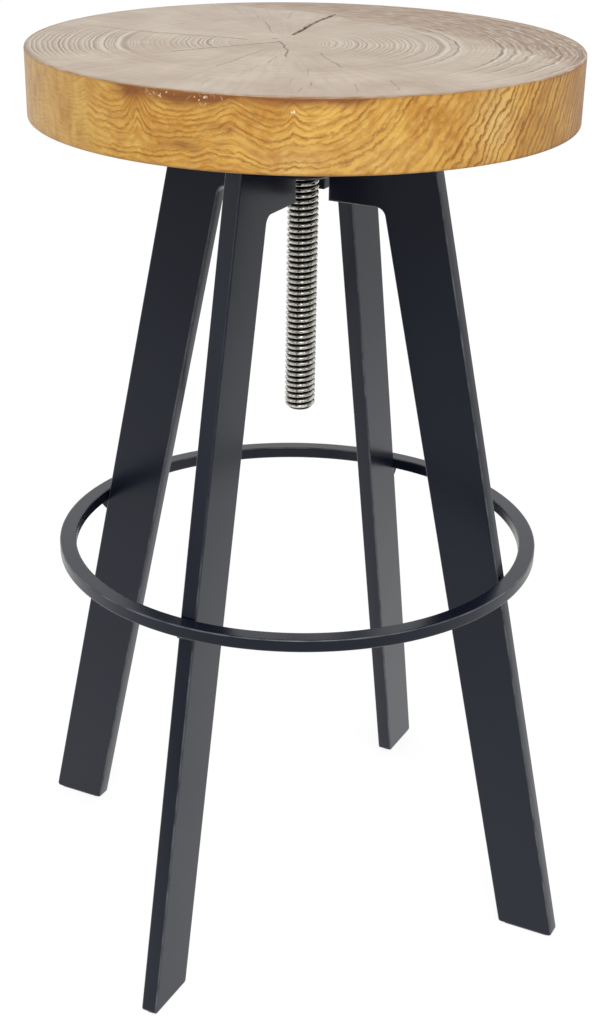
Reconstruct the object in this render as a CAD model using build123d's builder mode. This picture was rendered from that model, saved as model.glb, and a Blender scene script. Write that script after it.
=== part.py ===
from build123d import *
from math import hypot, sqrt
import os

# Adjustable stool: a round wooden seat on a height screw, four cut-plate legs and a foot ring.
# The origin is on the floor under the middle of the seat, and +Z is up.
# The legs point along -Y (front), +X (right), +Y (back) and -X (left).
# The seat stands at its lowest height. All sizes are in millimetres.

# Seat
seat_diameter = 370
seat_thickness = 45
seat_height = 650
seat_edge_chamfer = 2

# Flange that carries the seat
flange_diameter = 140
flange_thickness = 5
flange_edge_chamfer = 1
flange_screw_circle = 104
flange_screw_count = 4

# Countersunk wood screws that hold the flange to the seat
wood_screw_diameter = 5
wood_screw_head_diameter = 9.5
wood_screw_length = 32
wood_screw_tip_length = 6
wood_screw_tip_diameter = 1
wood_screw_socket_radius = 1.7
wood_screw_socket_depth = 1.8
wood_screw_clearance = 0.05

# Height screw, with a turned-down spigot that is welded into the flange
screw_diameter = 22
screw_length = 205
screw_end_chamfer = 2.5
spigot_diameter = 16
spigot_weld_size = 2.5

# Threaded bush between the legs
bush_diameter = 44
bush_length = 34
bush_chamfer = 1.5
bush_clearance = 0.08
bush_rise = 2

# Loose washer between the bush and the flange
washer_diameter = 36
washer_thickness = 2
washer_clearance = 0.3

# Leg plates
plate_thickness = 12
plate_edge_chamfer = 1
leg_width = 44
foot_radius = 229.5
shoulder_radius = 97
shoulder_fillet = 8
arm_depth = 47
arm_fillet = 7

# Rubber pads under the feet
pad_thickness = 1.5

# Foot ring, which lies against the outer edges of the legs
ring_width = 12
ring_height = 9
ring_top = 296
ring_edge_chamfer = 0.8
ring_clearance = 0.05

# Weld beads
ring_weld_size = 7
ring_weld_hollow = 1.2
hub_weld_size = 5
hub_weld_inset = 2

# Heights, from the seat down to the feet
seat_bottom = seat_height - seat_thickness
flange_bottom = seat_bottom - flange_thickness
bush_top = flange_bottom - washer_thickness
bush_bottom = bush_top - bush_length
leg_top = bush_top - bush_rise
arm_bottom = leg_top - arm_depth
ring_bottom = ring_top - ring_height
screw_bottom = flange_bottom - screw_length

# Compass headings of the legs about the upright axis
leg_headings = {"front": 270, "right": 0, "back": 90, "left": 180}
leg_slope = (foot_radius - shoulder_radius) / leg_top


def outer_edge(height):
    """Distance from the axis to the outer edge of a leg."""
    return foot_radius - leg_slope * height


def radial_plane(heading):
    """Upright plane through the axis, with x pointing outwards and y pointing up."""
    outwards = Vector(1, 0, 0).rotate(Axis.Z, heading)
    sideways = Vector(0, -1, 0).rotate(Axis.Z, heading)
    return Plane(origin=(0, 0, 0), x_dir=outwards, z_dir=sideways)


def level_plane(heading, height):
    """Level plane at a height, with x pointing outwards along a leg."""
    return Plane(origin=(0, 0, height), x_dir=Vector(1, 0, 0).rotate(Axis.Z, heading), z_dir=(0, 0, 1))


def write_piece(piece, name):
    """Label a finished piece and write it as the STEP file of that name."""
    piece.part.label = name
    export_step(piece.part, f"parts/{name}.step")


os.makedirs("parts", exist_ok=True)

# Seat slab, with pilot holes for the wood screws in its underside
pilot_depth = wood_screw_length - flange_thickness + wood_screw_clearance
with BuildPart() as seat_slab:
    with BuildSketch(Plane.XY.offset(seat_bottom)):
        Circle(seat_diameter / 2)
    extrude(amount=seat_thickness)
    chamfer(seat_slab.edges(), seat_edge_chamfer)
    with BuildSketch(Plane.XY.offset(seat_bottom)):
        with PolarLocations(flange_screw_circle / 2, flange_screw_count, start_angle=45):
            Circle(wood_screw_diameter / 2 + wood_screw_clearance)
    extrude(amount=pilot_depth, mode=Mode.SUBTRACT)
write_piece(seat_slab, "seat_slab")

# Flange, with a spigot hole that opens into a weld groove on top
with BuildPart() as seat_flange:
    with BuildSketch(Plane.XY.offset(flange_bottom)):
        Circle(flange_diameter / 2)
        Circle(spigot_diameter / 2, mode=Mode.SUBTRACT)
    extrude(amount=flange_thickness)
    underside = seat_flange.faces().sort_by(Axis.Z)[0]
    chamfer(underside.edges().sort_by(SortBy.LENGTH)[-1], flange_edge_chamfer)
    top_rim = seat_flange.faces().sort_by(Axis.Z)[-1].edges().sort_by(SortBy.LENGTH)[0]
    chamfer(top_rim, spigot_weld_size)
    with Locations(Plane.XY.offset(flange_bottom)):
        with PolarLocations(flange_screw_circle / 2, flange_screw_count, start_angle=45):
            with Locations(Rotation(180, 0, 0)):
                CounterSinkHole(
                    radius=wood_screw_diameter / 2 + wood_screw_clearance,
                    counter_sink_radius=wood_screw_head_diameter / 2 + wood_screw_clearance,
                    counter_sink_angle=90,
                )
write_piece(seat_flange, "seat_flange")

# Wood screws: one turned profile with a hexagon socket, repeated round the flange
head_radius = wood_screw_head_diameter / 2
shank_radius = wood_screw_diameter / 2
with BuildPart() as wood_screw:
    with BuildSketch(Plane.XZ):
        with BuildLine():
            Polyline(
                (0, flange_bottom),
                (head_radius, flange_bottom),
                (shank_radius, flange_bottom + head_radius - shank_radius),
                (shank_radius, flange_bottom + wood_screw_length - wood_screw_tip_length),
                (wood_screw_tip_diameter / 2, flange_bottom + wood_screw_length),
                (0, flange_bottom + wood_screw_length),
                close=True,
            )
        make_face()
    revolve(axis=Axis.Z)
    with BuildSketch(Plane.XY.offset(flange_bottom)):
        RegularPolygon(wood_screw_socket_radius, 6)
    extrude(amount=wood_screw_socket_depth, mode=Mode.SUBTRACT)
with BuildPart() as flange_screws:
    with PolarLocations(flange_screw_circle / 2, flange_screw_count, start_angle=45):
        add(wood_screw.part)
write_piece(flange_screws, "flange_screws")

# Height screw at its outside diameter, with the spigot flush with the flange's top
with BuildPart() as height_screw:
    with BuildSketch(Plane.XY.offset(screw_bottom)):
        Circle(screw_diameter / 2)
    extrude(amount=screw_length)
    chamfer(height_screw.edges().sort_by(Axis.Z)[0], screw_end_chamfer)
    with BuildSketch(Plane.XY.offset(flange_bottom)):
        Circle(spigot_diameter / 2)
    extrude(amount=flange_thickness)
write_piece(height_screw, "height_screw")

# Weld ring that fills the groove between the spigot and the flange
with BuildPart() as screw_weld:
    with BuildSketch(Plane.XZ):
        with BuildLine():
            Polyline(
                (spigot_diameter / 2, seat_bottom - spigot_weld_size),
                (spigot_diameter / 2 + spigot_weld_size, seat_bottom),
                (spigot_diameter / 2, seat_bottom),
                close=True,
            )
        make_face()
    revolve(axis=Axis.Z)
write_piece(screw_weld, "screw_weld")

# Threaded bush, at the bore that the screw's outside diameter runs in
with BuildPart() as threaded_bush:
    with BuildSketch(Plane.XY.offset(bush_bottom)):
        Circle(bush_diameter / 2)
        Circle(screw_diameter / 2 + bush_clearance, mode=Mode.SUBTRACT)
    extrude(amount=bush_length)
    chamfer(threaded_bush.edges().filter_by(GeomType.CIRCLE), bush_chamfer)
write_piece(threaded_bush, "threaded_bush")

# Washer that the flange comes down on
with BuildPart() as thrust_washer:
    with BuildSketch(Plane.XY.offset(bush_top)):
        Circle(washer_diameter / 2)
        Circle(screw_diameter / 2 + washer_clearance, mode=Mode.SUBTRACT)
    extrude(amount=washer_thickness)
write_piece(thrust_washer, "thrust_washer")

# Legs and their pads: a level arm from the bush, a splayed leg and a foot cut level with the floor
armpit = (outer_edge(arm_bottom) - leg_width, arm_bottom)
shoulder = (shoulder_radius, leg_top)
sole_middle = outer_edge(pad_thickness) - leg_width / 2
for side, heading in leg_headings.items():
    upright = radial_plane(heading)
    with BuildPart() as leg:
        with BuildSketch(upright) as leg_profile:
            with BuildLine():
                Polyline(
                    (bush_diameter / 2, leg_top),
                    shoulder,
                    (outer_edge(pad_thickness), pad_thickness),
                    (outer_edge(pad_thickness) - leg_width, pad_thickness),
                    armpit,
                    (bush_diameter / 2, arm_bottom),
                    close=True,
                )
            make_face()
            fillet(leg_profile.vertices().sort_by_distance(armpit)[0], arm_fillet)
            fillet(leg_profile.vertices().sort_by_distance(shoulder)[0], shoulder_fillet)
        extrude(amount=plate_thickness / 2, both=True)
        wide_faces = leg.faces().filter_by(Axis((0, 0, 0), upright.z_dir))
        chamfer(wide_faces.edges(), plate_edge_chamfer)
    write_piece(leg, f"leg_{side}")

    with BuildPart() as pad:
        with BuildSketch(level_plane(heading, 0)):
            with Locations((sole_middle, 0)):
                Rectangle(leg_width - 2 * plate_edge_chamfer, plate_thickness - 2 * plate_edge_chamfer)
        extrude(amount=pad_thickness)
    write_piece(pad, f"pad_{side}")

# Foot ring, as tight round the legs as its lower inside edge allows
ring_inner_radius = hypot(outer_edge(ring_bottom), plate_thickness / 2) + ring_clearance
with BuildPart() as foot_ring:
    with BuildSketch(Plane.XY.offset(ring_bottom)):
        Circle(ring_inner_radius + ring_width)
        Circle(ring_inner_radius, mode=Mode.SUBTRACT)
    extrude(amount=ring_height)
    chamfer(foot_ring.edges().filter_by(GeomType.CIRCLE), ring_edge_chamfer)
write_piece(foot_ring, "foot_ring")

# Hollow fillet welds under the ring, one against the outer edge of each leg
weld_root = (outer_edge(ring_bottom), ring_bottom)
weld_out = (outer_edge(ring_bottom) + ring_weld_size, ring_bottom)
weld_down = (outer_edge(ring_bottom - ring_weld_size), ring_bottom - ring_weld_size)
with BuildPart() as ring_welds:
    for heading in leg_headings.values():
        with BuildSketch(radial_plane(heading)):
            with BuildLine():
                Polyline(weld_down, weld_root, weld_out)
                SagittaArc(weld_out, weld_down, ring_weld_hollow)
            make_face()
        extrude(amount=plate_thickness / 2 - plate_edge_chamfer, both=True)
write_piece(ring_welds, "ring_welds")

# Upright fillet welds, one on each side of each arm where it meets the bush
bush_radius = bush_diameter / 2
weld_bottom = bush_bottom + hub_weld_inset
weld_top = leg_top - hub_weld_inset
weld_side = plate_thickness / 2 + hub_weld_size
bush_at_side = sqrt(bush_radius**2 - weld_side**2)
with BuildPart() as hub_welds:
    for heading in leg_headings.values():
        with BuildSketch(level_plane(heading, weld_bottom)):
            with BuildLine():
                Polyline(
                    (0, plate_thickness / 2),
                    (bush_radius + hub_weld_size, plate_thickness / 2),
                    (bush_at_side, weld_side),
                    close=True,
                )
            make_face()
            Circle(bush_radius, mode=Mode.SUBTRACT)
            mirror(about=Plane.XZ)
        extrude(amount=weld_top - weld_bottom)
write_piece(hub_welds, "hub_welds")
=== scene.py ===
from functools import partial
from math import cos, pi, radians, sin

import bmesh
import bpy
import numpy as np
from mathutils import Matrix, Vector


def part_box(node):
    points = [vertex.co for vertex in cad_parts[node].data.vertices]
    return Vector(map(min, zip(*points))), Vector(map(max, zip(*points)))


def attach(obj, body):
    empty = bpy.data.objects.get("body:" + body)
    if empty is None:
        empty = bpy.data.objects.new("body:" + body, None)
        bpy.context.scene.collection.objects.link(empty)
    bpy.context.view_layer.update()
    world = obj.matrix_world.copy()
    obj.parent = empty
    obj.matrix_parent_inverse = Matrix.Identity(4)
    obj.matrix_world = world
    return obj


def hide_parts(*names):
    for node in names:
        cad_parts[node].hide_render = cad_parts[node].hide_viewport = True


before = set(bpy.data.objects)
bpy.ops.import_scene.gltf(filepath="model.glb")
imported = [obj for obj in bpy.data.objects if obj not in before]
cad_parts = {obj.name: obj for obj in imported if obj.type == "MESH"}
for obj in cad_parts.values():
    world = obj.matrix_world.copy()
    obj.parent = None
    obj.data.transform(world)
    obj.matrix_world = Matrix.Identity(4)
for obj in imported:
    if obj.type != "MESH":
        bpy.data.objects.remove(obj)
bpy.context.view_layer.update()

# Adjustable stool: a turned slice of wood on a threaded height screw, four cut-plate legs and a foot ring.
# Lengths are in metres in the CAD frame: the origin is on the floor under the seat, +Z is up.
mm = 0.001

# Places read from the frame
seat_low, seat_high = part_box("seat_slab")
screw_low, screw_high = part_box("height_screw")
flange_low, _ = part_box("seat_flange")
_, bush_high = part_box("threaded_bush")
leg_low, leg_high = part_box("leg_right")
ring_low, ring_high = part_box("foot_ring")
pad_low, pad_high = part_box("pad_right")

# Seat, and the columns and rows of its surface
seat_radius = seat_high.x
seat_edge_radius = 1.2 * mm
seat_columns = 900
top_rows = 45
rim_rows = 6
side_rows = 41
under_rows = 6

# Middle of the growth rings in the seat's top
pith = np.array([-12.6, -8.2]) * mm

# Drying splits and dark rays in the seat's top: width, darkness, then the points that each runs through,
# lengths in millimetres
splits = [
    (2.6, 1.0, [(-23, 28), (-26, 47), (-32, 72), (-35, 94), (-37, 119)]),
    (1.6, 0.9, [(-18, -3), (3, -32), (13, -54)]),
    (1.6, 0.9, [(-27, 5), (-24, 5)]),
    (1.4, 0.75, [(25, -30), (43, -51), (61, -70)]),
    (1.3, 0.5, [(79, -88), (97, -103)]),
    (1.6, 0.7, [(-11, -36), (-8, -105)]),
    (2.3, 0.85, [(-40, -7), (-76, -12), (-111, -16)]),
    (1.8, 0.75, [(-111, -16), (-150, -15.5)]),
    (1.2, 0.6, [(-150, -15.5), (-168, -15)]),
    (2.3, 0.85, [(-17, -6), (-39, -42)]),
    (2.1, 0.9, [(-39, -42), (-59, -75)]),
    (1.2, 0.55, [(-59, -75), (-72, -96)]),
    (1.4, 0.7, [(-65, 65), (-38, 25)]),
    (1.2, 0.5, [(-83, 89), (-75, 74)]),
    (1.3, 0.6, [(-57, 85), (-69, 114), (-69, 124)]),
    (1.4, 0.7, [(8, -57), (14, -80)]),
    (1.2, 0.55, [(12, -89), (17, -108)]),
    (1.2, 0.6, [(44, -84), (54, -103)]),
    (1.2, 0.75, [(66, -124), (71, -134)]),
    (1.2, 0.65, [(68, -140), (73, -153)]),
    (1.2, 0.65, [(90, -113), (101, -133)]),
    (1.2, 0.65, [(104, -94), (121, -117)]),
    (1.0, 0.5, [(124, -81), (135, -95)]),
    (1.0, 0.5, [(49, -113), (60, -141)]),
    (1.1, 0.5, [(8, -142), (15, -165)]),
]
split_wander = 4 * mm

# Splits wider than this are open: their depth, and the shares of their width between which the walls rise
open_split_width = 2.5
split_depth = 5 * mm
split_walls = (0.1, 0.5)

# Growth rings in the seat's top are faint, and clearer in two sectors about the pith and in the brown wood.
# Sectors are a middle bearing and a half width in degrees, ranges are distances from the pith.
faint_rings = 0.14
right_sector = (22, 36)
right_clearness = 0.6
right_start = (20 * mm, 35 * mm)
right_fade = (108 * mm, 122 * mm)
right_fade_share = 0.8
left_sector = (-152, 22)
left_clearness = 0.75
left_start = (30 * mm, 50 * mm)
left_gap = 86 * mm
left_gap_width = 18 * mm
left_gap_share = 0.7
brown_clearness = 0.85

# The outer rings are drawn out to a point on the right
pointed_sector = (17, 22)
pointed_start = (140 * mm, 180 * mm)
pointed_share = 0.05

# Bold rings in the seat's top on the right: distance from the pith in millimetres, darkness
bold_rings = [(116, 1.1), (144, 1.3), (151, 0.9), (159, 1.0), (167, 0.7), (175, 1.2), (187, 1.0)]
bold_ring_width = 2.2 * mm
bold_ring_sway = 5 * mm
bold_sector = (36, 50)
bold_start = (100 * mm, 113 * mm)

# Brown wood at the back of the seat's top: its middle bearing, where it starts there, how much further out
# it starts one spread away, the waves of its border as height and count in a turn, and the border's reach,
# then the dark lines along that border and along the rim
brown_bearing = 72
brown_start = 113 * mm
brown_retreat = 30 * mm
brown_spread = 40
brown_waves = [(3 * mm, 11), (2 * mm, 23)]
brown_border = (-12 * mm, 20 * mm)
brown_line_width = 4 * mm
brown_line = 0.5
rim_line_width = 3.5 * mm
rim_line = 0.8
deepest_brown = 1.3

# Figure on the seat's side: heading in degrees, rise at the top and at the bottom in millimetres, and
# spread in degrees of each peak
figure_peaks = [
    (-124, 4, 7, 6.0),
    (-108, 6, 3, 3.0),
    (-95.4, 15, 2, 2.0),
    (-87, -2, 4, 2.6),
    (-81, 0, 5, 2.2),
    (-76.5, 10, 5, 4.4),
    (-69, 0, -3, 2.5),
    (-65.3, 6, 2, 1.3),
    (-40, 3, -2, 2.0),
    (-22, -4, 5, 2.4),
    (58, 5, 9, 5.0),
    (94, 8, 2, 4.0),
    (128, 12, 6, 6.0),
    (152, 9, 3, 4.0),
    (176, 14, 5, 5.0),
    (-156, 8, 2, 4.0),
]
peak_sharpness = 1.4
peak_heights = (8 * mm, 38 * mm)

# Hill that the lines climb round the side: its height, the heading it is measured from, and the degrees past
# that heading over which it rises and falls and the lines draw apart and close up again
figure_climb = 175 * mm
climb_heading = -72
climb_rise = (10, 122)
climb_fall = (122, 310)
stretch_rise = (4, 30)
stretch_fall = (150, 210)
stretch_share = 0.6

# The side has hardly any lines about one heading, and stronger ones between two others
plain_heading = -134
plain_reach = (20, 34)
plain_lines = 0.12
strong_lines = 0.6
strong_start = (-50, -28)
strong_end = (60, 80)

# Brown stains on the side, and one pale spot that is a painted highlight: heading, height above the seat's
# bottom, spreads, strength
side_stains_and_glint = [
    (-97, 42, 3.6, 6.0, 0.9),
    (-87, 43, 6.0, 6.0, 1.3),
    (-80, 44, 4.5, 4.5, 1.1),
    (-66, 44, 8.0, 4.5, 1.0),
    (-55, 44, 5.0, 4.5, 0.8),
    (-78, 26, 3.5, 2.5, 0.5),
    (-86, 14, 3.0, 3.0, 0.5),
    (-102, 26, 2.5, 6.0, 0.3),
    (-80.5, 14, 8.0, 12.0, 0.25),
    # Painted highlight: a pale spot, marked by its negative strength
    (-65.3, 36.8, 0.6, 1.3, -1.3),
]

# Painted glinting specks in the brown stains, and painted paler sheen on the side, in the same way
painted_glints = [(-90.8, 42, 2.6, 2.2, 1.0), (-81.4, 41, 3.0, 2.4, 1.0)]
# Painted sheen: paler wood where soft highlights fall on the side
painted_sheen_spots = [(-64, 8, 6.0, 9.0, 0.25), (-50, 10, 6.0, 12.0, 0.15), (-25.5, 26, 5.0, 22.0, 0.5)]

# Brown patch at the right end of the side: heading where it starts low down, how far it starts later at
# the top and from which height in millimetres, heading where it ends, half widths of both borders, strength
patch_start = -20
patch_lean = 8
patch_lean_from = 20
patch_end = 40
patch_start_border = 1.5
patch_end_border = 10
patch_stain = 0.36

# Brown lines at the side's rims: a darker line under the top rim, and painted shade along the lower rim
top_rim_darkening = 0.6
side_rim_line_depth = 1.5
low_rim_painted_shade = 0.5

# Height screw, with the columns of its surface and its rows in one pitch. The crest's reach and the root are
# shares of the pitch, the flank's start is one of that reach, and drop and run-out are ones of the depth.
thread_pitch = 4 * mm
thread_depth = 2.1 * mm
thread_rows = 24
screw_columns = 64
crest_reach = 0.24
crest_drop = 0.16
flank_start = 0.8
root_share = 0.12
runout_pitches = 1.5
runout_depth = 0.2
screw_end_chamfer = 3.4 * mm
spigot_radius = 8 * mm

# Legs and pads
plate_thickness = leg_high.y - leg_low.y
leg_top = leg_high.z
sole_height = leg_low.z
foot_reach = leg_high.x
bush_radius = bush_high.x
shoulder_reach = 97 * mm
leg_width = 44 * mm
arm_depth = 47 * mm
shoulder_fillet = 8 * mm
arm_fillet = 7 * mm
sole_fillet = 2.5 * mm
fillet_points = 9
sole_points = 6
plate_edge_radius = 1.2 * mm
plate_edge_rows = 6
longest_plate_step = 12 * mm
face_margin = 1 * mm
pad_inset = 1.8 * mm
pad_corner_radius = 3 * mm
pad_corner_points = 6
pad_edge_radius = 0.7 * mm
pad_edge_rows = 5
leg_headings = {"front": 270, "right": 0, "back": 90, "left": 180}
leg_slope = (foot_reach - shoulder_reach) / (leg_top - sole_height)

# Worn coat and painted edge highlight along the legs' edges, and the share of it that the front leg lacks
# higher up
edge_wear_and_highlight = 0.85
fainter_edges_above = (250 * mm, 420 * mm)
fainter_edges_share = {"front": 0.85}

# Foot ring
ring_outer = ring_high.x
ring_width = 12 * mm
ring_edge_radius = 1 * mm
ring_columns = 240
ring_corner_points = 5

# Distance of the points that keep a bar's faces flat beside its rounded corners
bar_margin = 0.8 * mm

# Camera, as found from the outlines in the photograph, in pixels, metres and radians
image_width = 605
image_height = 1024
focal_pixels = 1746.5
camera_distance = 1.2004
camera_height = 0.8430
camera_pitch = 0.4721
camera_roll = 0.0166
camera_heading = 0.4642
image_centre_x = 296.2
image_centre_y = 607.5
sensor_height = 36

# Light: strength of the white surroundings, then the lamps as watts, size, place and target
world_level = 0.72
lamps = {
    "soft_box": (26.0, (1.6, 1.6), (0.95, -1.4, 2.3), (0, 0, 0.4)),
    "strip": (5.0, (0.22, 1.6), (1.02, -1.95, 1.5), (0, 0, 1.5)),
}

# Floor: half its width, its glow, and the ways on it that lead behind and far to the right of the stool
floor_reach = 12.0
floor_glow = 0.86
way_behind = (-0.45, 0.89, 0)
way_right = (0.45, 0.89, 0)


def srgb(hex_colour):
    """Linear colour of an sRGB hex value."""
    channels = np.array([int(hex_colour[i:i + 2], 16) for i in (1, 3, 5)]) / 255
    linear = np.where(channels <= 0.04045, channels / 12.92, ((channels + 0.055) / 1.055) ** 2.4)
    return (*linear.tolist(), 1.0)


def set_sockets(tree, node, inputs):
    """Set a node's inputs: a node or an output is linked, a hex colour is made linear, a value is kept."""
    for key, value in inputs.items():
        if isinstance(value, bpy.types.Node):
            value = next(output for output in value.outputs if output.enabled)
        if isinstance(value, bpy.types.NodeSocket):
            tree.links.new(value, node.inputs[key])
        else:
            node.inputs[key].default_value = srgb(value) if isinstance(value, str) else value


def add_node(tree, kind, inputs=None, **settings):
    """Add one node with its settings and its inputs."""
    node = tree.nodes.new(kind)
    for name, value in settings.items():
        setattr(node, name, value)
    set_sockets(tree, node, inputs or {})
    return node


def new_material(name):
    """A material, the function that adds its nodes, and the place on the object that its patterns follow."""
    material = bpy.data.materials.new(name)
    material.use_nodes = True
    add = partial(add_node, material.node_tree)
    return material, add, add("ShaderNodeTexCoord").outputs["Object"]


def read_field(add, name):
    """The three numbers of a piece's field."""
    field = add("ShaderNodeAttribute", attribute_name=name)
    return add("ShaderNodeSeparateXYZ", {0: field.outputs["Vector"]}).outputs


def dress(material, base, layers, inputs):
    """Give the shader its inputs and its colour, a base with layers of a share and a colour laid over it."""
    tree = material.node_tree
    colour = base
    for share, layer in layers:
        colour = add_node(tree, "ShaderNodeMix", {0: share, 6: colour, 7: layer}, data_type="RGBA")
    set_sockets(tree, tree.nodes["Principled BSDF"], {"Base Color": colour, **inputs})


def add_object(name, data):
    """Put a mesh, lamp or camera into the scene as an object."""
    item = bpy.data.objects.new(name, data)
    bpy.context.scene.collection.objects.link(item)
    return item


def grid_faces(rows, columns, rows_close=False, columns_close=True):
    """Quads of a grid, whose columns close on themselves unless told, and whose rows do where asked."""
    row = np.arange(rows if rows_close else rows - 1)[:, None]
    column = np.arange(columns if columns_close else columns - 1)[None, :]
    next_row = (row + 1) % rows
    next_column = (column + 1) % columns
    corners = [
        row * columns + column,
        row * columns + next_column,
        next_row * columns + next_column,
        next_row * columns + column,
    ]
    return np.stack(np.broadcast_arrays(*corners), axis=-1).reshape(-1, 4).tolist()


def fan_faces(centre, ring, following):
    """Triangles from a centre point to each point of a ring and the one that follows it."""
    return np.stack([np.full(len(ring), centre), ring, following], axis=-1).tolist()


def capped_faces(rows, columns):
    """Quads of a grid whose columns close on themselves, with one face over its first row and its last."""
    last = (rows - 1) * columns
    return grid_faces(rows, columns) + [list(range(columns)), list(range(last + columns - 1, last - 1, -1))]


def new_piece(name, points, faces, materials, body, replaced, smooth_angle=40, face_materials=None,
              fields=None):
    """Put computed points and faces into a mesh that rides on a body in place of a CAD node.

    Fields are named sets of three numbers for each point, which the materials read.
    """
    mesh = bpy.data.meshes.new(name)
    mesh.from_pydata(points, [], faces)
    for material in materials:
        mesh.materials.append(material)
    if face_materials is not None:
        mesh.polygons.foreach_set("material_index", face_materials)
    for field, values in (fields or {}).items():
        attribute = mesh.attributes.new(field, "FLOAT_VECTOR", "POINT")
        attribute.data.foreach_set("vector", np.stack(values, axis=-1).astype(np.float32).ravel())
    shell = bmesh.new()
    shell.from_mesh(mesh)
    bmesh.ops.remove_doubles(shell, verts=shell.verts, dist=1e-6)
    bmesh.ops.recalc_face_normals(shell, faces=shell.faces)
    shell.to_mesh(mesh)
    shell.free()
    mesh.shade_smooth()
    mesh.set_sharp_from_angle(angle=radians(smooth_angle))
    piece = add_object(name, mesh)
    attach(piece, body)
    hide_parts(replaced)


def smooth_step(value, low, high):
    """Smooth rise from 0 at low to 1 at high."""
    share = np.clip((value - low) / (high - low), 0, 1)
    return share * share * (3 - 2 * share)


def degrees_apart(heading, centre):
    """Signed angle in degrees from a centre to a heading, the short way round."""
    return (heading - centre + 180) % 360 - 180


def sector(heading, middle, half_width, sharpness):
    """1 at the middle heading, falling to 0 past the half width, more suddenly with a greater sharpness."""
    return np.exp(-np.abs(degrees_apart(heading, middle) / half_width) ** sharpness)


def distance_to_run(plan, points):
    """Distance of plan points from the run of straight lines through the given points."""
    nearest = np.full(plan.shape[:-1], np.inf)
    for start, end in zip(points[:-1], points[1:]):
        along = end - start
        share = np.clip((plan - start) @ along / (along @ along), 0, 1)
        gap = np.linalg.norm(plan - start - share[..., None] * along, axis=-1)
        nearest = np.minimum(nearest, gap)
    return nearest


def seat_figure(heading, height):
    """Growth-line field on the seat's side.

    Lines run where the field is constant. The field is the height above the seat's bottom less its
    peaks, stretched on the right, less a hill that climbs round the right side to the back and falls again.
    """
    turned = (heading - climb_heading) % 360
    hill = figure_climb * (smooth_step(turned, *climb_rise) - smooth_step(turned, *climb_fall))
    squeeze = 1 - stretch_share * (smooth_step(turned, *stretch_rise) - smooth_step(turned, *stretch_fall))
    upper = smooth_step(height, *peak_heights)
    peaks = np.zeros(len(heading))
    for middle, rise, low_rise, spread in figure_peaks:
        reach = (low_rise + (rise - low_rise) * upper) * mm
        peaks = peaks + reach * sector(heading, middle, spread, peak_sharpness)
    return squeeze * (height - peaks) - hill


def soft_spots(heading, height, spots):
    """Sum of soft oval spots on the seat's side, each a strength times a Gaussian of heading and height."""
    total = np.zeros(len(heading))
    for middle, level, spread, rise, strength in spots:
        across = degrees_apart(heading, middle) / spread
        along = (height / mm - level) / rise
        total = total + strength * np.exp(-across ** 2 - along ** 2)
    return total


def side_stains_and_painted_light(heading, height):
    """Sum of soft oval spots, one patch and thin bands at both rims: brown above 0 and pale below it. The
    band at the lower rim is painted shade, and the one pale spot a painted highlight.
    """
    level = height / mm
    top = (seat_high.z - seat_low.z) / mm
    rims = top_rim_darkening * np.exp(-((top - level) / side_rim_line_depth) ** 2)
    # Painted shade: a darker band along the lower rim
    rims = rims + low_rim_painted_shade * np.exp(-(level / side_rim_line_depth) ** 2)
    from_start = degrees_apart(heading, patch_start + patch_lean * smooth_step(level, patch_lean_from, top))
    from_end = degrees_apart(heading, patch_end)
    patch = smooth_step(from_start, -patch_start_border, patch_start_border)
    patch = patch - smooth_step(from_end, -patch_end_border, patch_end_border)
    return rims + soft_spots(heading, height, side_stains_and_glint) + patch_stain * np.maximum(patch, 0)


def top_grain(points):
    """Fields of the seat's top: ring distance, clearness of the rings, brownness and boldness of the rings.

    The ring distance is the distance from the pith, shortened in one sector so that rings come to a point.
    Clearness adds up soft sectors and the brown wood, which starts where a parabola of the bearing with
    two waves on it says. A dark line follows the border of the brown wood and another one the rim.
    """
    offset = points[:, :2] - pith
    from_pith = np.hypot(*offset.T)
    bearing = np.degrees(np.arctan2(offset[:, 1], offset[:, 0]))
    pointed = pointed_share * sector(bearing, *pointed_sector, 1) * smooth_step(from_pith, *pointed_start)
    right = sector(bearing, *right_sector, 4) * smooth_step(from_pith, *right_start)
    right = right * (1 - right_fade_share * smooth_step(from_pith, *right_fade))
    left = sector(bearing, *left_sector, 6) * smooth_step(from_pith, *left_start)
    left = left * (1 - left_gap_share * np.exp(-((from_pith - left_gap) / left_gap_width) ** 4))
    starts = brown_start + brown_retreat * (degrees_apart(bearing, brown_bearing) / brown_spread) ** 2
    for wave, count in brown_waves:
        starts = starts + wave * np.sin(np.radians(count * bearing))
    brown = smooth_step(from_pith - starts, *brown_border)
    border = np.exp(-((from_pith - starts) / brown_line_width) ** 2)
    rim = smooth_step(np.hypot(points[:, 0], points[:, 1]), seat_radius - rim_line_width, seat_radius)
    clear = faint_rings + right_clearness * right + left_clearness * left + brown_clearness * brown
    browned = np.minimum(brown + brown_line * border + rim_line * rim, deepest_brown)
    bold = sector(bearing, *bold_sector, 4) * smooth_step(from_pith, *bold_start)
    return from_pith * (1 - pointed), clear, browned, bold


def seat_fields(points):
    """Fields that the wood's materials read, at each point of the seat."""
    rings, clear, browned, bold = top_grain(points)
    heading = np.degrees(np.arctan2(points[:, 1], points[:, 0]))
    height = points[:, 2] - seat_low.z
    from_plain = np.abs(degrees_apart(heading, plain_heading))
    lined = plain_lines + (1 - plain_lines) * smooth_step(from_plain, *plain_reach)
    strong = smooth_step(heading, *strong_start) * (1 - smooth_step(heading, *strong_end))
    lined = lined + strong_lines * strong
    return {
        "end_grain": (rings, clear, browned),
        # marks: bold rings, then painted glinting specks and painted sheen
        "marks": (bold, soft_spots(heading, height, painted_glints), soft_spots(heading, height, painted_sheen_spots)),
        "side_grain": (seat_figure(heading, height), lined, side_stains_and_painted_light(heading, height)),
    }


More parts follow.
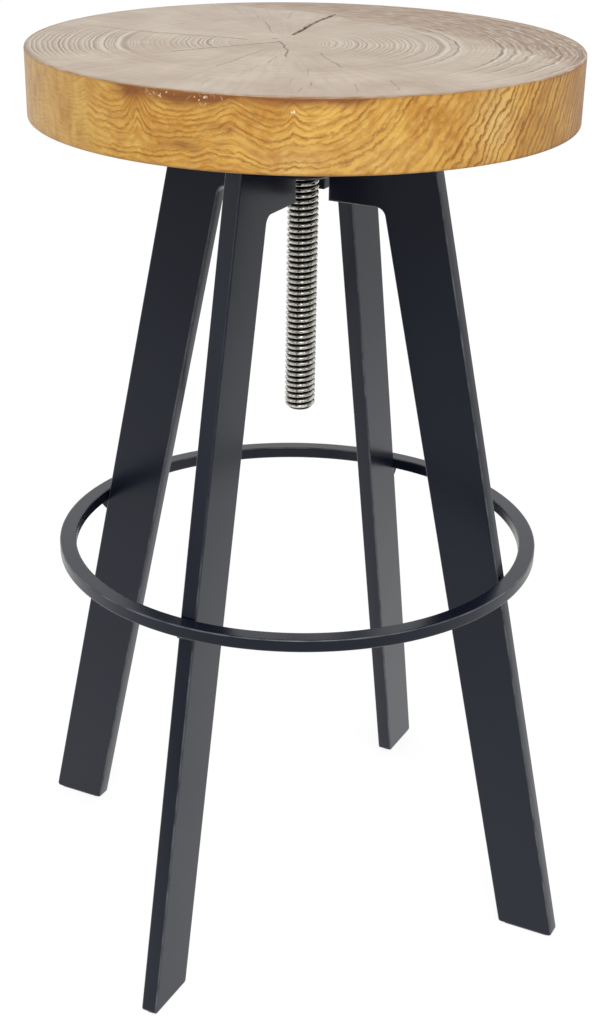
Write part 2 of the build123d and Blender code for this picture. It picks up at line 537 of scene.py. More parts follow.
def wooden_seat(materials):
    """Turned seat slab.

    Rows of the grid run out from the pith over the top, round the rim, down the side, round the lower
    rim and in to the axis underneath. Columns are headings about the axis. Open splits sink the top.
    """
    heading = np.linspace(-pi, pi, seat_columns, endpoint=False)
    rim = np.stack([np.cos(heading), np.sin(heading)], axis=-1)
    inner = seat_radius - seat_edge_radius
    out = np.linspace(0, 1, top_rows + 1)[1:, None, None]
    top_plan = pith * (1 - out) + inner * rim * out
    turn = np.linspace(0, pi / 2, rim_rows + 1)[1:]
    side_top = seat_high.z - seat_edge_radius
    side_bottom = seat_low.z + seat_edge_radius
    radii = np.concatenate([
        inner + seat_edge_radius * np.sin(turn),
        np.full(side_rows, seat_radius),
        inner + seat_edge_radius * np.cos(turn),
        inner * np.linspace(1, 0, under_rows + 2)[1:-1],
    ])
    heights = np.concatenate([
        np.full(top_rows, seat_high.z),
        side_top + seat_edge_radius * np.cos(turn),
        np.linspace(side_top, side_bottom, side_rows + 1)[1:],
        side_bottom - seat_edge_radius * np.sin(turn),
        np.full(under_rows, seat_low.z),
    ])
    plan = np.concatenate([top_plan, radii[:, None, None] * rim])
    height = heights[:, None] * np.ones(seat_columns)
    sunk = np.zeros((top_rows, seat_columns))
    for width, _, run in splits:
        if width > open_split_width:
            gap = distance_to_run(top_plan, np.array(run) * mm)
            sunk = np.maximum(sunk, 1 - smooth_step(gap / (width * mm), *split_walls))
    height[:top_rows] -= split_depth * sunk
    points = np.concatenate([plan, height[:, :, None]], axis=-1).reshape(-1, 3)
    points = np.concatenate([points, [[*pith, seat_high.z], [0, 0, seat_low.z]]])

    rows = len(heights)
    column = np.arange(seat_columns)
    following = (column + 1) % seat_columns
    last = (rows - 1) * seat_columns
    faces = grid_faces(rows, seat_columns)
    faces = faces + fan_faces(len(points) - 2, column, following)
    faces = faces + fan_faces(len(points) - 1, last + following, last + column)
    side_from = top_rows + rim_rows // 2
    side_to = side_from + rim_rows + side_rows
    row = np.repeat(np.arange(rows - 1), seat_columns)
    quad_materials = np.where(row < side_from, 0, np.where(row < side_to, 1, 2))
    face_materials = np.concatenate([quad_materials, np.full(seat_columns, 0), np.full(seat_columns, 2)])
    new_piece("wooden_seat", points, faces, materials, "seat", "seat_slab",
              face_materials=face_materials.astype(np.int32), fields=seat_fields(points))


def lifting_screw(material):
    """Rolled V thread on the height screw.

    Rows follow the helix: each heading's profile is lifted by its share of the pitch, so a row that
    goes once round meets the row one pitch higher. The radius is the outside less the groove at that
    place in the pitch: a shallow square curve over the crest, then a smooth step down to the root. The
    end chamfer cuts it back, and the plain spigot closes the top.
    """
    shank_top = flange_low.z
    crest = screw_high.x
    turns = int((shank_top - screw_low.z) / thread_pitch) + 2
    step = np.arange(-thread_rows, turns * thread_rows)
    share = (step % thread_rows) / thread_rows
    from_crest = np.minimum(share, 1 - share)
    sunk = crest_drop * np.minimum(from_crest / crest_reach, 1) ** 2
    sunk = sunk + (1 - crest_drop) * smooth_step(from_crest, flank_start * crest_reach, 0.5 - root_share / 2)
    heading = np.linspace(0, 2 * pi, screw_columns + 1)
    lift = thread_pitch * (step[:, None] / thread_rows + heading[None, :] / (2 * pi))
    height = np.clip(screw_low.z + lift, screw_low.z, shank_top)
    runout = np.clip((shank_top - height) / (runout_pitches * thread_pitch), 0, 1)
    fade = runout_depth + (1 - runout_depth) * runout
    end_limit = crest - screw_end_chamfer + (height - screw_low.z)
    radius = np.minimum(crest - thread_depth * sunk[:, None] * fade, end_limit)
    radius = np.where(height >= shank_top, crest - thread_depth, radius)
    radius = np.where(height <= screw_low.z, crest - screw_end_chamfer, radius)
    circle = np.stack([np.cos(heading), np.sin(heading)], axis=-1)
    points = np.concatenate([radius[:, :, None] * circle, height[:, :, None]], axis=-1).reshape(-1, 3)
    start = len(points)
    levels = (shank_top, screw_high.z)
    spigot = [np.column_stack([spigot_radius * circle[:-1], np.full(screw_columns, z)]) for z in levels]
    points = np.concatenate([points, *spigot, [[0, 0, screw_high.z], [0, 0, screw_low.z]]])

    ring = np.arange(screw_columns)
    following = (ring + 1) % screw_columns
    last = (len(step) - 1) * (screw_columns + 1)
    high = start + screw_columns
    shoulder = np.stack([last + ring, last + ring + 1, start + following, start + ring], axis=-1)
    stem = np.stack([start + ring, start + following, high + following, high + ring], axis=-1)
    faces = grid_faces(len(step), screw_columns + 1, columns_close=False) + shoulder.tolist() + stem.tolist()
    faces = faces + fan_faces(len(points) - 2, high + ring, high + following)
    faces = faces + fan_faces(len(points) - 1, ring + 1, ring)
    depth = np.clip((crest - np.hypot(points[:, 0], points[:, 1])) / thread_depth, 0, 1)
    depth[start:] = 0
    new_piece("lifting_screw", points, faces, [material], "seat", "height_screw",
              smooth_angle=42, fields={"thread": (depth, 0 * depth, 0 * depth)})


def rounded_corner(before, corner, after, radius, count):
    """Points of the arc of a given radius that rounds a corner between two straight lines."""
    before, corner, after = (np.array(point) for point in (before, corner, after))
    to_before = (before - corner) / np.linalg.norm(before - corner)
    to_after = (after - corner) / np.linalg.norm(after - corner)
    half = np.arccos(np.clip(to_before @ to_after, -1, 1)) / 2
    middle = (to_before + to_after) / np.linalg.norm(to_before + to_after)
    centre = corner + middle * radius / np.sin(half)
    start = corner + to_before * radius / np.tan(half) - centre
    end = corner + to_after * radius / np.tan(half) - centre
    share = np.linspace(0, 1, count)[:, None]
    chord = start * (1 - share) + end * share
    return centre + radius * chord / np.linalg.norm(chord, axis=1, keepdims=True)


def leg_outline():
    """Outline of a leg plate, outwards and up: level arm, shoulder, splayed leg, flat sole and armpit."""
    arm_bottom = leg_top - arm_depth
    root_top = (bush_radius, leg_top)
    root_low = (bush_radius, arm_bottom)
    shoulder = (shoulder_reach, leg_top)
    toe = (foot_reach, sole_height)
    heel = (foot_reach - leg_width, sole_height)
    armpit = (foot_reach - leg_slope * (arm_bottom - sole_height) - leg_width, arm_bottom)
    return np.concatenate([
        [root_low, root_top],
        rounded_corner(root_top, shoulder, toe, shoulder_fillet, fillet_points),
        rounded_corner(shoulder, toe, heel, sole_fillet, sole_points),
        rounded_corner(toe, heel, armpit, sole_fillet, sole_points),
        rounded_corner(heel, armpit, root_low, arm_fillet, fillet_points),
    ])


def divided(outline, longest):
    """The closed outline with its long sides divided evenly into steps no longer than given."""
    following = np.roll(outline, -1, axis=0)
    counts = np.maximum(1, np.ceil(np.linalg.norm(following - outline, axis=1) / longest)).astype(int)
    index = np.repeat(np.arange(len(outline)), counts)
    share = (np.arange(len(index)) - np.repeat(np.cumsum(counts) - counts, counts)) / counts[index]
    return outline[index] * (1 - share[:, None]) + following[index] * share[:, None]


def inward_normals(outline):
    """Mitred inward directions at each point of a closed outline, one unit from each side's line."""
    along = np.roll(outline, -1, axis=0) - outline
    along /= np.linalg.norm(along, axis=1, keepdims=True)
    area = np.sum(outline[:, 0] * np.roll(outline[:, 1], -1) - outline[:, 1] * np.roll(outline[:, 0], -1))
    normal = np.sign(area) * np.stack([-along[:, 1], along[:, 0]], axis=-1)
    previous = np.roll(normal, 1, axis=0)
    total = normal + previous
    return total / (1 + np.sum(normal * previous, axis=1, keepdims=True))


def on_heading(heading, reach, sideways, height):
    """Points at a reach from the axis along a heading, moved sideways from it and up to a height."""
    out = np.array([cos(radians(heading)), sin(radians(heading)), 0])
    across = np.array([-out[1], out[0], 0])
    return reach[:, :, None] * out + sideways[:, :, None] * across + height[:, :, None] * (0, 0, 1)


def leg_plate(side, heading, material):
    """One leg: the cut outline carried across the plate's thickness, with rounded edges on both faces.

    Each row is the outline moved inwards by an inset and sideways by an offset; the insets follow a
    quarter circle at each edge, and one more inset keeps each wide face flat.
    """
    outline = divided(leg_outline(), longest_plate_step)
    quarter = np.linspace(0, pi / 2, plate_edge_rows)
    half = plate_thickness / 2
    flat = [plate_edge_radius + face_margin]
    inset = plate_edge_radius * (1 - np.sin(quarter))
    inset = np.concatenate([flat, inset, inset[::-1], flat])
    offset = half - plate_edge_radius * (1 - np.cos(quarter))
    offset = np.concatenate([[half], offset, -offset[::-1], [-half]])
    profile = outline[None] + inset[:, None, None] * inward_normals(outline)[None]
    points = on_heading(heading, profile[:, :, 0], offset[:, None], profile[:, :, 1])
    rows, columns = profile.shape[:2]
    on_corner = np.sin(2 * quarter)
    # Worn coat and painted edge highlight on the rounded edges, fainter higher up on the front leg
    edge = edge_wear_and_highlight * np.repeat(np.concatenate([[0], on_corner, on_corner[::-1], [0]]), columns)
    edge = edge * (1 - fainter_edges_share.get(side, 0) * smooth_step(profile[:, :, 1].ravel(), *fainter_edges_above))
    new_piece(f"leg_plate_{side}", points.reshape(-1, 3), capped_faces(rows, columns), [material],
              "frame", f"leg_{side}", fields={"wear_and_highlight": (edge, 0 * edge, 0 * edge)})


def rounded_bar(low_radius, high_radius, low, high, edge, corner_count):
    """Section of a flat bar as radius and height: rounded corners, and a point beside each for flatness."""
    quarter = np.linspace(0, pi / 2, corner_count)
    middle = np.array([(low_radius + high_radius) / 2, (low + high) / 2])
    half = np.array([(high_radius - low_radius) / 2, (high - low) / 2])
    arc = half - edge + edge * np.stack([np.cos(quarter), np.sin(quarter)], axis=-1)
    lead = np.array([[half[0], half[1] - edge - bar_margin]])
    trail = np.array([[half[0] - edge - bar_margin, half[1]]])
    corner = np.concatenate([lead, arc, trail])
    flips = [((1, 1), 1), ((-1, 1), -1), ((-1, -1), 1), ((1, -1), -1)]
    return middle + np.concatenate([corner[::order] * np.array(flip) for flip, order in flips])


def foot_pad(side, heading, material):
    """Rubber pad under a leg: a rounded rectangle carried up from the floor over a quarter circle."""
    half = (pad_high.y - pad_low.y) / 2 - pad_edge_radius
    heel = pad_low.x + pad_inset
    toe = pad_high.x - pad_inset
    outline = rounded_bar(heel, toe, -half, half, pad_corner_radius, pad_corner_points)
    quarter = np.linspace(0, pi / 2, pad_edge_rows)
    inset = np.append(pad_edge_radius * (1 - np.sin(quarter)), 0)
    height = np.append(pad_low.z + pad_edge_radius * (1 - np.cos(quarter)), pad_high.z)
    profile = outline[None] + inset[:, None, None] * inward_normals(outline)[None]
    points = on_heading(heading, profile[:, :, 0], profile[:, :, 1], height[:, None])
    new_piece(f"foot_pad_{side}", points.reshape(-1, 3), capped_faces(*profile.shape[:2]), [material],
              "frame", f"pad_{side}")


def foot_rest(material):
    """Flat bar bent to a ring: a rounded rectangular section carried round the axis."""
    inner = ring_outer - ring_width
    section = rounded_bar(inner, ring_outer, ring_low.z, ring_high.z, ring_edge_radius, ring_corner_points)
    heading = np.linspace(0, 2 * pi, ring_columns, endpoint=False)
    plan = section[:, :1, None] * np.stack([np.cos(heading), np.sin(heading)], axis=-1)
    height = section[:, 1:, None] * np.ones((1, ring_columns, 1))
    points = np.concatenate([plan, height], axis=-1).reshape(-1, 3)
    faces = grid_faces(len(section), ring_columns, rows_close=True)
    # Worn coat and painted edge highlight on the rounded corners
    on_corner = np.concatenate([[0], np.sin(np.linspace(0, pi, ring_corner_points)), [0]])
    edge = np.repeat(np.tile(on_corner, 4), ring_columns)
    new_piece("foot_rest_ring", points, faces, [material], "frame", "foot_ring",
              fields={"wear_and_highlight": (edge, 0 * edge, 0 * edge)})


def powder_coated_steel(name, pebble_size, pebble_strength, least_rough):
    """Steel, blasted and powder coated semi-gloss black: nearly black, a little blue, bright at low angles.

    The coat is faintly pebbled on plate and lumpy over weld beads; along the edges of plates and ring it is
    greyer here and there, partly a worn coat and partly a painted edge highlight.
    """
    material, add, place = new_material(name)
    edge, _, _ = read_field(add, "wear_and_highlight")
    pebble, cloud, edge_patch = (
        add("ShaderNodeTexNoise", {"Vector": place, "Scale": 1 / size, "Detail": detail})
        for size, detail in ((pebble_size, 2.0), (45 * mm, 3.0), (14 * mm, 4.0)))
    # Greyer edges: worn coat and painted edge highlight, patchy along each edge
    wear_and_painted_highlight = add("ShaderNodeMapRange", {0: edge_patch, 1: 0.35, 2: 0.65, 3: 0.25, 4: 0.9})
    wear_and_painted_highlight = add("ShaderNodeMath", {0: wear_and_painted_highlight, 1: edge}, operation="MULTIPLY")
    rough = add("ShaderNodeMapRange", {0: cloud, 3: least_rough, 4: least_rough + 0.07})
    bump = add("ShaderNodeBump", {"Height": pebble, "Strength": pebble_strength, "Distance": 0.2 * mm})
    dress(material, "#080B18", [(cloud, "#0E1222"), (wear_and_painted_highlight, "#6A6C72")],
          {"Roughness": rough, "Normal": bump, "Specular IOR Level": 0.44, "Specular Tint": "#F0F6FF"})
    return material


def rolled_steel():
    """Steel screw, thread rolled and oiled: bright worn crests above roots darkened by dark grease and
    painted shade.
    """
    material, add, place = new_material("rolled_steel_thread")
    depth, _, _ = read_field(add, "thread")
    film = add("ShaderNodeTexNoise", {"Vector": place, "Scale": 1 / (1.5 * mm), "Detail": 4.0})
    worn = add("ShaderNodeMapRange", {0: film, 1: 0.35, 2: 0.62})
    uneven = add("ShaderNodeMath", {0: film, 1: 0.5, 2: depth}, operation="MULTIPLY_ADD")
    # Darker towards the thread roots: grease, and painted shade in the recesses
    grease_and_painted_shade = add("ShaderNodeMapRange", {0: uneven, 1: 0.7, 2: 1.15}, interpolation_type="SMOOTHSTEP")
    rough = add("ShaderNodeMapRange", {0: grease_and_painted_shade, 3: 0.16, 4: 0.5})
    dress(material, "#9C9992", [(worn, "#E6E4DE"), (grease_and_painted_shade, "#14120E")],
          {"Roughness": rough, "Metallic": 1.0})
    return material


def growth_lines(add, place, field, spacing, sway_size, sway_reach, unevenness, darkens_from):
    """Growth lines: darkness of the late wood, paleness of the early wood and a random number for the year.

    The field is swayed by noise and divided by the spacing, and a slow noise along it makes the years
    uneven. Each year starts pale, darkens slowly to its line and soon ends. The random number also thins
    some lines.
    """
    sway = add("ShaderNodeTexNoise",
               {"Vector": place, "Scale": 1 / sway_size, "Detail": 4.0, "Roughness": 0.72})
    swayed = add("ShaderNodeMath", {0: sway, 1: sway_reach, 2: field}, operation="MULTIPLY_ADD")
    count = add("ShaderNodeMath", {0: swayed, 1: spacing}, operation="DIVIDE")
    uneven = add("ShaderNodeTexNoise", {"W": count, "Scale": 0.45, "Detail": 0.0}, noise_dimensions="1D")
    years = add("ShaderNodeMath", {0: uneven, 1: unevenness, 2: count}, operation="MULTIPLY_ADD")
    year = add("ShaderNodeMath", {0: years}, operation="FLOOR")
    season = add("ShaderNodeMath", {0: years}, operation="FRACT")
    chance = add("ShaderNodeTexWhiteNoise", {"W": year}, noise_dimensions="1D")
    rise = add("ShaderNodeMapRange", {0: season, 1: darkens_from, 2: 0.82}, interpolation_type="SMOOTHSTEP")
    fall = add("ShaderNodeMapRange", {0: season, 1: 0.8, 2: 1.0, 3: 1.0, 4: 0.0})
    line = add("ShaderNodeMath", {0: rise, 1: fall}, operation="MULTIPLY")
    thin = add("ShaderNodeMapRange", {0: chance, 3: 0.4, 4: 1.0})
    line = add("ShaderNodeMath", {0: line, 1: thin}, operation="MULTIPLY")
    early = add("ShaderNodeMapRange", {0: season, 1: 0.05, 2: 0.4, 3: 1.0, 4: 0.0},
                interpolation_type="SMOOTHSTEP")
    early = add("ShaderNodeMath", {0: early, 1: thin}, operation="MULTIPLY")
    return line, early, chance


def wood_fibres(add, place, field, width, length):
    """Short streaks that follow the growth lines: noise that is fine across the field and long along it."""
    x, y, _ = add("ShaderNodeSeparateXYZ", {0: place}).outputs
    across = add("ShaderNodeMath", {0: field, 1: 1 / width}, operation="MULTIPLY")
    along = add("ShaderNodeMath", {0: x, 1: 1 / length}, operation="MULTIPLY")
    beside = add("ShaderNodeMath", {0: y, 1: 1 / length}, operation="MULTIPLY")
    stretched = add("ShaderNodeCombineXYZ", {0: across, 1: along, 2: beside})
    return add("ShaderNodeTexNoise", {"Vector": stretched, "Scale": 1.0, "Detail": 2.0})


def strongest_mark(add, marks):
    """The strongest of many marks at each place."""
    strongest = marks[0]
    for mark in marks[1:]:
        strongest = add("ShaderNodeMath", {0: mark, 1: strongest}, operation="MAXIMUM")
    return strongest


def bold_ring_edges(add, place, rings, bold):
    """Dark edge of the bold rings and the pale edge outside it, each falling off evenly from its middle."""
    sway = add("ShaderNodeTexNoise", {"Vector": place, "Scale": 1 / (18 * mm), "Detail": 2.0})
    radius = add("ShaderNodeMath", {0: sway, 1: bold_ring_sway, 2: rings}, operation="MULTIPLY_ADD")
    edges = []
    for shift in (bold_ring_sway / 2, bold_ring_sway / 2 + bold_ring_width):
        marks = []
        for distance, darkness in bold_rings:
            gap = add("ShaderNodeMath", {0: radius, 1: distance * mm + shift}, operation="SUBTRACT")
            gap = add("ShaderNodeMath", {0: gap}, operation="ABSOLUTE")
            marks.append(add("ShaderNodeMath", {0: gap, 1: -2 / bold_ring_width, 2: darkness},
                             operation="MULTIPLY_ADD"))
        edge = add("ShaderNodeClamp", {0: strongest_mark(add, marks)})
        edges.append(add("ShaderNodeMath", {0: edge, 1: bold}, operation="MULTIPLY"))
    return edges


def drying_splits(add, place):
    """Darkness of the splits, which falls with the distance from each swayed and ragged stretch."""
    wander, ragged = (add("ShaderNodeTexNoise", {"Vector": place, "Scale": 1 / size, "Detail": 2.0})
                      for size in (11 * mm, 6 * mm))
    wander = add("ShaderNodeVectorMath", {0: wander.outputs["Color"], 1: (0.5, 0.5, 0.5)},
                 operation="SUBTRACT")
    shifted = add("ShaderNodeVectorMath", {0: wander, 1: (split_wander, split_wander, 0), 2: place},
                  operation="MULTIPLY_ADD")
    flat = add("ShaderNodeVectorMath", {0: shifted, 1: (1, 1, 0)}, operation="MULTIPLY")
    marks = []
    for width, darkness, run in splits:
        for start, end in zip(run[:-1], run[1:]):
            along = Vector(np.subtract(end, start) * mm).to_3d()
            foot = Vector(np.array(start) * mm).to_3d()
            away = add("ShaderNodeVectorMath", {0: flat, 1: foot}, operation="SUBTRACT")
            share = add("ShaderNodeVectorMath", {0: away, 1: along / along.length_squared},
                        operation="DOT_PRODUCT")
            share = add("ShaderNodeClamp", {0: share})
            along_run = add("ShaderNodeVectorMath", {0: along, "Scale": share}, operation="SCALE")
            gap = add("ShaderNodeVectorMath", {0: away, 1: along_run}, operation="DISTANCE")
            marks.append(add("ShaderNodeMath", {0: gap, 1: -1.2 / (width * mm), 2: darkness},
                             operation="MULTIPLY_ADD"))
    reach = add("ShaderNodeMath", {0: ragged, 1: -0.5, 2: strongest_mark(add, marks)},
                operation="MULTIPLY_ADD")
    return add("ShaderNodeMapRange", {0: reach, 1: -0.1, 2: 0.6, 4: 0.95})


def end_grain_pine(name, with_splits):
    """Pine sawn across the trunk, sanded and varnished satin: pale, faint rings and fine dark splits.

    The underside is the same without splits.
    """
    material, add, place = new_material(name)
    rings, clear, browned = read_field(add, "end_grain")
    bold, _, _ = read_field(add, "marks")
    line, early, chance = growth_lines(add, place, rings, spacing=3.5 * mm, sway_size=26 * mm,
                                       sway_reach=5 * mm, unevenness=1.6, darkens_from=0.4)
    fibre = wood_fibres(add, place, rings, width=1.6 * mm, length=12 * mm)
    patch = add("ShaderNodeTexNoise", {"Vector": place, "Scale": 1 / (40 * mm), "Detail": 4.0})
    mottled = add("ShaderNodeMapRange", {0: patch, 1: 0.3, 2: 0.7})
    tone = add("ShaderNodeMath", {0: chance, 1: 0.12}, operation="MULTIPLY")

    # Rays: noise that turns quickly about the pith and changes slowly outwards
    from_pith = add("ShaderNodeVectorMath", {0: place, 1: (*pith, 0)}, operation="SUBTRACT")
    from_pith = add("ShaderNodeVectorMath", {0: from_pith, 1: (1, 1, 0)}, operation="MULTIPLY")
    outward = add("ShaderNodeVectorMath", {0: from_pith}, operation="NORMALIZE")
    spread = add("ShaderNodeVectorMath", {0: from_pith, 1: (25, 25, 0)}, operation="MULTIPLY")
    spokes = add("ShaderNodeVectorMath", {0: outward, 1: (26, 26, 0), 2: spread}, operation="MULTIPLY_ADD")
    ray = add("ShaderNodeTexNoise", {"Vector": spokes, "Scale": 1.0, "Detail": 3.0})
    streak = add("ShaderNodeMapRange", {0: ray, 1: 0.45, 2: 0.75, 4: 0.4})

    # Rings: dark late wood and pale early wood, with the bold rings broken up by the fibres
    broken = add("ShaderNodeMapRange", {0: fibre, 1: 0.3, 2: 0.6, 3: 0.42, 4: 1.1})
    shares = []
    for ring, edge in zip((line, early), bold_ring_edges(add, place, rings, bold)):
        ring = add("ShaderNodeMath", {0: ring, 1: clear}, operation="MULTIPLY")
        edge = add("ShaderNodeMath", {0: edge, 1: broken}, operation="MULTIPLY")
        shares.append(add("ShaderNodeMath", {0: ring, 1: edge}, operation="MAXIMUM"))
    shade, fresh = shares
    patchy = add("ShaderNodeMapRange", {0: fibre, 1: 0.36, 2: 0.66, 3: 0.25, 4: 1.2})
    brown = add("ShaderNodeMath", {0: browned, 1: patchy}, operation="MULTIPLY")
    layers = [(mottled, "#A58D74"), (tone, "#8F7350"), (streak, "#8E7456"), (fresh, "#D3C5B0"),
              (brown, "#8C622C"), (shade, "#523821")]
    relief = shade
    if with_splits:
        split = drying_splits(add, place)
        layers.append((split, "#2E2117"))
        relief = add("ShaderNodeMath", {0: split, 1: 2.0, 2: shade}, operation="MULTIPLY_ADD")
    rough = add("ShaderNodeMapRange", {0: fibre, 3: 0.30, 4: 0.44})
    bump = add("ShaderNodeBump", {"Height": relief, "Strength": 0.55, "Distance": 0.25 * mm}, invert=True)
    dress(material, "#BFAE99", layers, {"Roughness": rough, "Normal": bump})
    return material


def side_grain_pine():
    """Pine turned round its edge and varnished: golden early wood between thin uneven lines of late wood."""
    material, add, place = new_material("varnished_side_grain_pine")
    figure, lined, stains_and_light_here = read_field(add, "side_grain")
    # The marks field's last two numbers are painted highlights: glinting specks and paler sheen
    _, painted_glints_here, painted_sheen_here = read_field(add, "marks")
    line, _, chance = growth_lines(add, place, figure, spacing=3.8 * mm, sway_size=14 * mm,
                                   sway_reach=9 * mm, unevenness=0.8, darkens_from=0.25)
    fibre = wood_fibres(add, place, figure, width=1.3 * mm, length=9 * mm)
    patch, speck, glint = (
        add("ShaderNodeTexNoise", {"Vector": place, "Scale": 1 / size, "Detail": detail})
        for size, detail in ((24 * mm, 3.0), (5 * mm, 3.0), (1.8 * mm, 1.0)))
    glow = add("ShaderNodeMapRange", {0: patch, 1: 0.32, 2: 0.68})
    tone = add("ShaderNodeMath", {0: chance, 1: 0.35}, operation="MULTIPLY")
    dapple = add("ShaderNodeMapRange", {0: speck, 1: 0.42, 2: 0.72, 4: 0.5})
    streak = add("ShaderNodeMapRange", {0: fibre, 1: 0.45, 2: 0.72, 4: 0.5})

    # Upright streaks where the side has hardly any lines
    drawn = add("ShaderNodeVectorMath", {0: place, 1: (1 / (6 * mm), 1 / (6 * mm), 1 / (22 * mm))},
                operation="MULTIPLY")
    drawn = add("ShaderNodeTexNoise", {"Vector": drawn, "Scale": 1.0, "Detail": 3.0})
    drawn = add("ShaderNodeMapRange", {0: drawn, 1: 0.36, 2: 0.64})
    upright = add("ShaderNodeMix", {0: drawn, 6: "#A67A3A", 7: "#CFA965"}, data_type="RGBA")
    unlined = add("ShaderNodeMapRange", {0: lined, 1: plain_lines, 2: 1.0, 3: 0.4, 4: 0.0})

    # Late-wood lines broken up by the fibres, blotched stains, glinting specks and the pale knot
    broken = add("ShaderNodeMapRange", {0: fibre, 1: 0.3, 2: 0.7, 3: 0.45, 4: 1.0})
    shade = add("ShaderNodeMath", {0: line, 1: lined}, operation="MULTIPLY")
    shade = add("ShaderNodeMath", {0: shade, 1: broken}, operation="MULTIPLY")
    # Brown stains, with the painted shade along the lower rim; below zero, the painted highlight spot
    blotch = add("ShaderNodeMath", {0: speck, 1: 0.7, 2: stains_and_light_here}, operation="MULTIPLY_ADD")
    stain_and_painted_shade = add("ShaderNodeMapRange", {0: blotch, 1: 0.5, 2: 1.3, 4: 0.9})
    # Painted highlight: pale specks where fine noise peaks inside the painted glinting spots
    painted_sparkle = add("ShaderNodeMapRange", {0: glint, 1: 0.6, 2: 0.7})
    painted_sparkle = add("ShaderNodeMath", {0: painted_sparkle, 1: painted_glints_here}, operation="MULTIPLY")
    # Painted highlight: a pale spot where the side's field falls below zero, broken up by noise
    painted_glint_spot = add("ShaderNodeMath", {0: glint, 1: 1.6, 2: stains_and_light_here}, operation="MULTIPLY_ADD")
    painted_glint_spot = add("ShaderNodeMapRange", {0: painted_glint_spot, 1: 0.25, 2: -0.35})
    layers = [(glow, "#B6772A"), (tone, "#DCAC4E"), (dapple, "#E2BC68"), (streak, "#A66C26"),
              (unlined, upright), (painted_sheen_here, "#E6CA86"), (shade, "#966226"), (stain_and_painted_shade, "#7F4822"),
              (painted_sparkle, "#F3DDBE"), (painted_glint_spot, "#F0E6C0")]
    rough = add("ShaderNodeMapRange", {0: fibre, 3: 0.32, 4: 0.46})
    bump = add("ShaderNodeBump", {"Height": shade, "Strength": 0.45, "Distance": 0.2 * mm}, invert=True)
    dress(material, "#DFAF54", layers, {"Roughness": rough, "Normal": bump, "Specular IOR Level": 0.35})
    return material


def plain_finish(name, colours, cloud_size, cloud_detail, roughness, metallic=0.0):
    """Plain moulded or plated surface: a faint cloud of two near colours, which its roughness follows."""
    material, add, place = new_material(name)
    cloud = add("ShaderNodeTexNoise", {"Vector": place, "Scale": 1 / cloud_size, "Detail": cloud_detail})
    rough = add("ShaderNodeMapRange", {0: cloud, 3: roughness[0], 4: roughness[1]})
    dress(material, colours[0], [(cloud, colours[1])], {"Roughness": rough, "Metallic": metallic})
    return material


def seen_rays(add):
    """Whether a ray is from the camera, and whether it is from there, from a reflection or through glass."""
    path = add("ShaderNodeLightPath").outputs
    seen = add("ShaderNodeMath", {0: path["Is Camera Ray"], 1: path["Is Glossy Ray"]}, operation="MAXIMUM")
    seen = add("ShaderNodeMath", {0: seen, 1: path["Is Transmission Ray"]}, operation="MAXIMUM")
    return path["Is Camera Ray"], seen


def studio_floor():
    """Wide white floor: white to the camera and in reflections, with the object's soft shadow kept on it.

    In reflections it is less brightly lit towards the front and far to the right, as a floor with its
    lamps at the back is.
    """
    material, add, place = new_material("studio_floor_paint")
    from_camera, seen = seen_rays(add)
    behind = add("ShaderNodeVectorMath", {0: place, 1: way_behind}, operation="DOT_PRODUCT")
    beside = add("ShaderNodeVectorMath", {0: place, 1: way_right}, operation="DOT_PRODUCT")
    lit = add("ShaderNodeMapRange", {0: behind, 1: -1.2, 2: 0.05, 3: 0.2, 4: 1.0})
    near = add("ShaderNodeMapRange", {0: beside, 1: 0.35, 2: 1.6, 3: 1.0, 4: 0.55})
    lit = add("ShaderNodeMath", {0: lit, 1: near}, operation="MULTIPLY")
    lit = add("ShaderNodeMath", {0: lit, 1: from_camera}, operation="MAXIMUM")
    glowing = add("ShaderNodeMath", {0: lit, 1: floor_glow}, operation="MULTIPLY")
    plain = add("ShaderNodeBsdfDiffuse", {"Color": "#E6E6E6"})
    shadow = add("ShaderNodeBsdfDiffuse", {"Color": "#7C7C7C"})
    glow = add("ShaderNodeEmission", {"Strength": glowing})
    lifted = add("ShaderNodeAddShader", {0: shadow, 1: glow})
    mixed = add("ShaderNodeMixShader", {0: seen, 1: plain, 2: lifted})
    tree = material.node_tree
    set_sockets(tree, tree.nodes["Material Output"], {"Surface": mixed})
    tree.nodes.remove(tree.nodes["Principled BSDF"])
    corners = [(x * floor_reach, y * floor_reach, 0) for x, y in ((-1, -1), (1, -1), (1, 1), (-1, 1))]
    mesh = bpy.data.meshes.new("studio_floor")
    mesh.from_pydata(corners, [], [(0, 1, 2, 3)])
    mesh.materials.append(material)
    floor = add_object("studio_floor", mesh)


def studio_light():
    """White surroundings, a little weaker as light than they look, a broad lamp and an upright strip."""
    world = bpy.data.worlds.new("studio")
    bpy.context.scene.world = world
    world.use_nodes = True
    tree = world.node_tree
    tree.nodes.clear()
    add = partial(add_node, tree)
    _, seen = seen_rays(add)
    level = add("ShaderNodeMapRange", {0: seen, 3: world_level, 4: 1.0})
    white = add("ShaderNodeBackground", {"Color": "#FFFFFF", "Strength": level})
    add("ShaderNodeOutputWorld", {"Surface": white})
    for name, (watts, size, place, target) in lamps.items():
        lamp = bpy.data.lights.new(name, "AREA")
        lamp.energy = watts
        lamp.shape = "ELLIPSE"
        lamp.size, lamp.size_y = size
        box = add_object(name, lamp)
        box.location = place
        box.rotation_euler = (Vector(target) - box.location).to_track_quat("-Z", "Y").to_euler()
        box.visible_camera = False


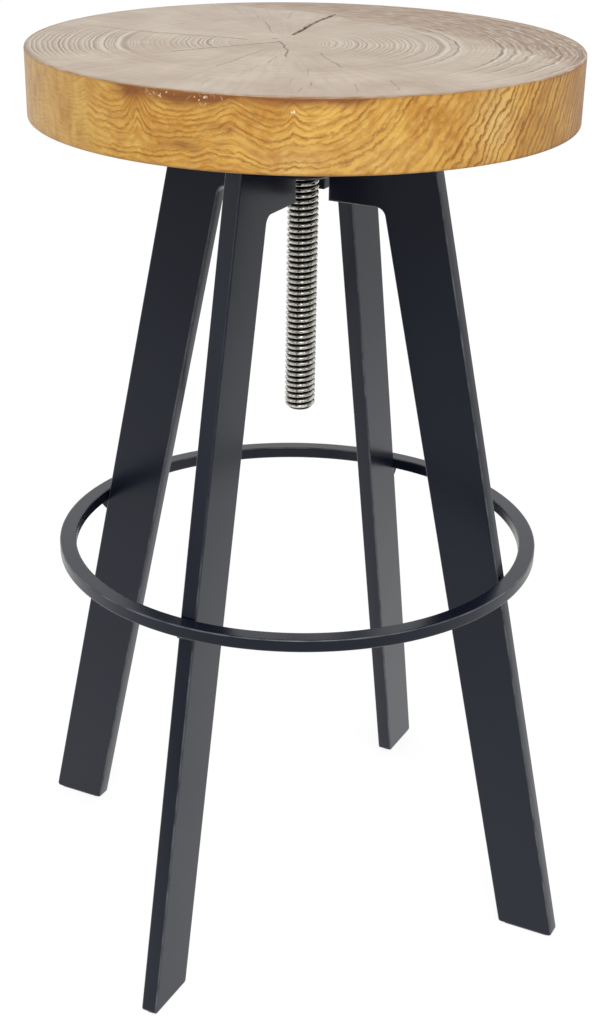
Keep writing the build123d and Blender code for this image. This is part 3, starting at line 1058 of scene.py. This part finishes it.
def photo_camera():
    """Camera at the photograph's place: turned to its heading, pitched down and rolled a little."""
    lens = bpy.data.cameras.new("photo_camera")
    lens.sensor_fit = "VERTICAL"
    lens.sensor_height = sensor_height
    lens.lens = focal_pixels / image_height * sensor_height
    lens.shift_x = (image_width / 2 - image_centre_x) / image_height
    lens.shift_y = (image_centre_y - image_height / 2) / image_height
    camera = add_object("photo_camera", lens)
    turned = Matrix.Rotation(camera_heading, 4, "Z")
    placed = Matrix.Translation((0, -camera_distance, camera_height))
    tilted = Matrix.Rotation(pi / 2 - camera_pitch, 4, "X") @ Matrix.Rotation(camera_roll, 4, "Z")
    camera.matrix_world = turned @ placed @ tilted
    bpy.context.scene.camera = camera


black_steel = powder_coated_steel("powder_coated_steel", 1.6 * mm, 0.1, 0.22)
coated_weld = powder_coated_steel("powder_coated_weld", 3.5 * mm, 0.9, 0.45)

# Black rubber pads, moulded: dark, dull and faintly grained
rubber = plain_finish("moulded_rubber", ("#101010", "#1C1B1A"), 1.2 * mm, 2.0, (0.7, 0.85))

# Natural nylon washer, moulded: milky off-white with a soft sheen
nylon = plain_finish("moulded_nylon", ("#DDD8CB", "#E8E4DA"), 6 * mm, 2.0, (0.38, 0.5))

# Steel wood screws, zinc plated: pale blue-grey metal with a cloudy, slightly iridescent film
zinc = plain_finish("zinc_plated_steel", ("#B9BCC2", "#D0CDBF"), 4 * mm, 3.0, (0.25, 0.42), metallic=1.0)

top_wood = end_grain_pine("sanded_end_grain_pine", True)
under_wood = end_grain_pine("raw_end_grain_pine", False)
wooden_seat([top_wood, side_grain_pine(), under_wood])
lifting_screw(rolled_steel())
for side, heading in leg_headings.items():
    leg_plate(side, heading, black_steel)
    foot_pad(side, heading, rubber)
foot_rest(black_steel)

cad_finishes = {
    "seat_flange": black_steel,
    "threaded_bush": black_steel,
    "screw_weld": coated_weld,
    "ring_welds": coated_weld,
    "hub_welds": coated_weld,
    "flange_screws": zinc,
    "thrust_washer": nylon,
}
for node, finish in cad_finishes.items():
    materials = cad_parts[node].data.materials
    materials.clear()
    materials.append(finish)

studio_floor()
studio_light()
photo_camera()
bpy.context.scene.view_settings.view_transform = "Standard"
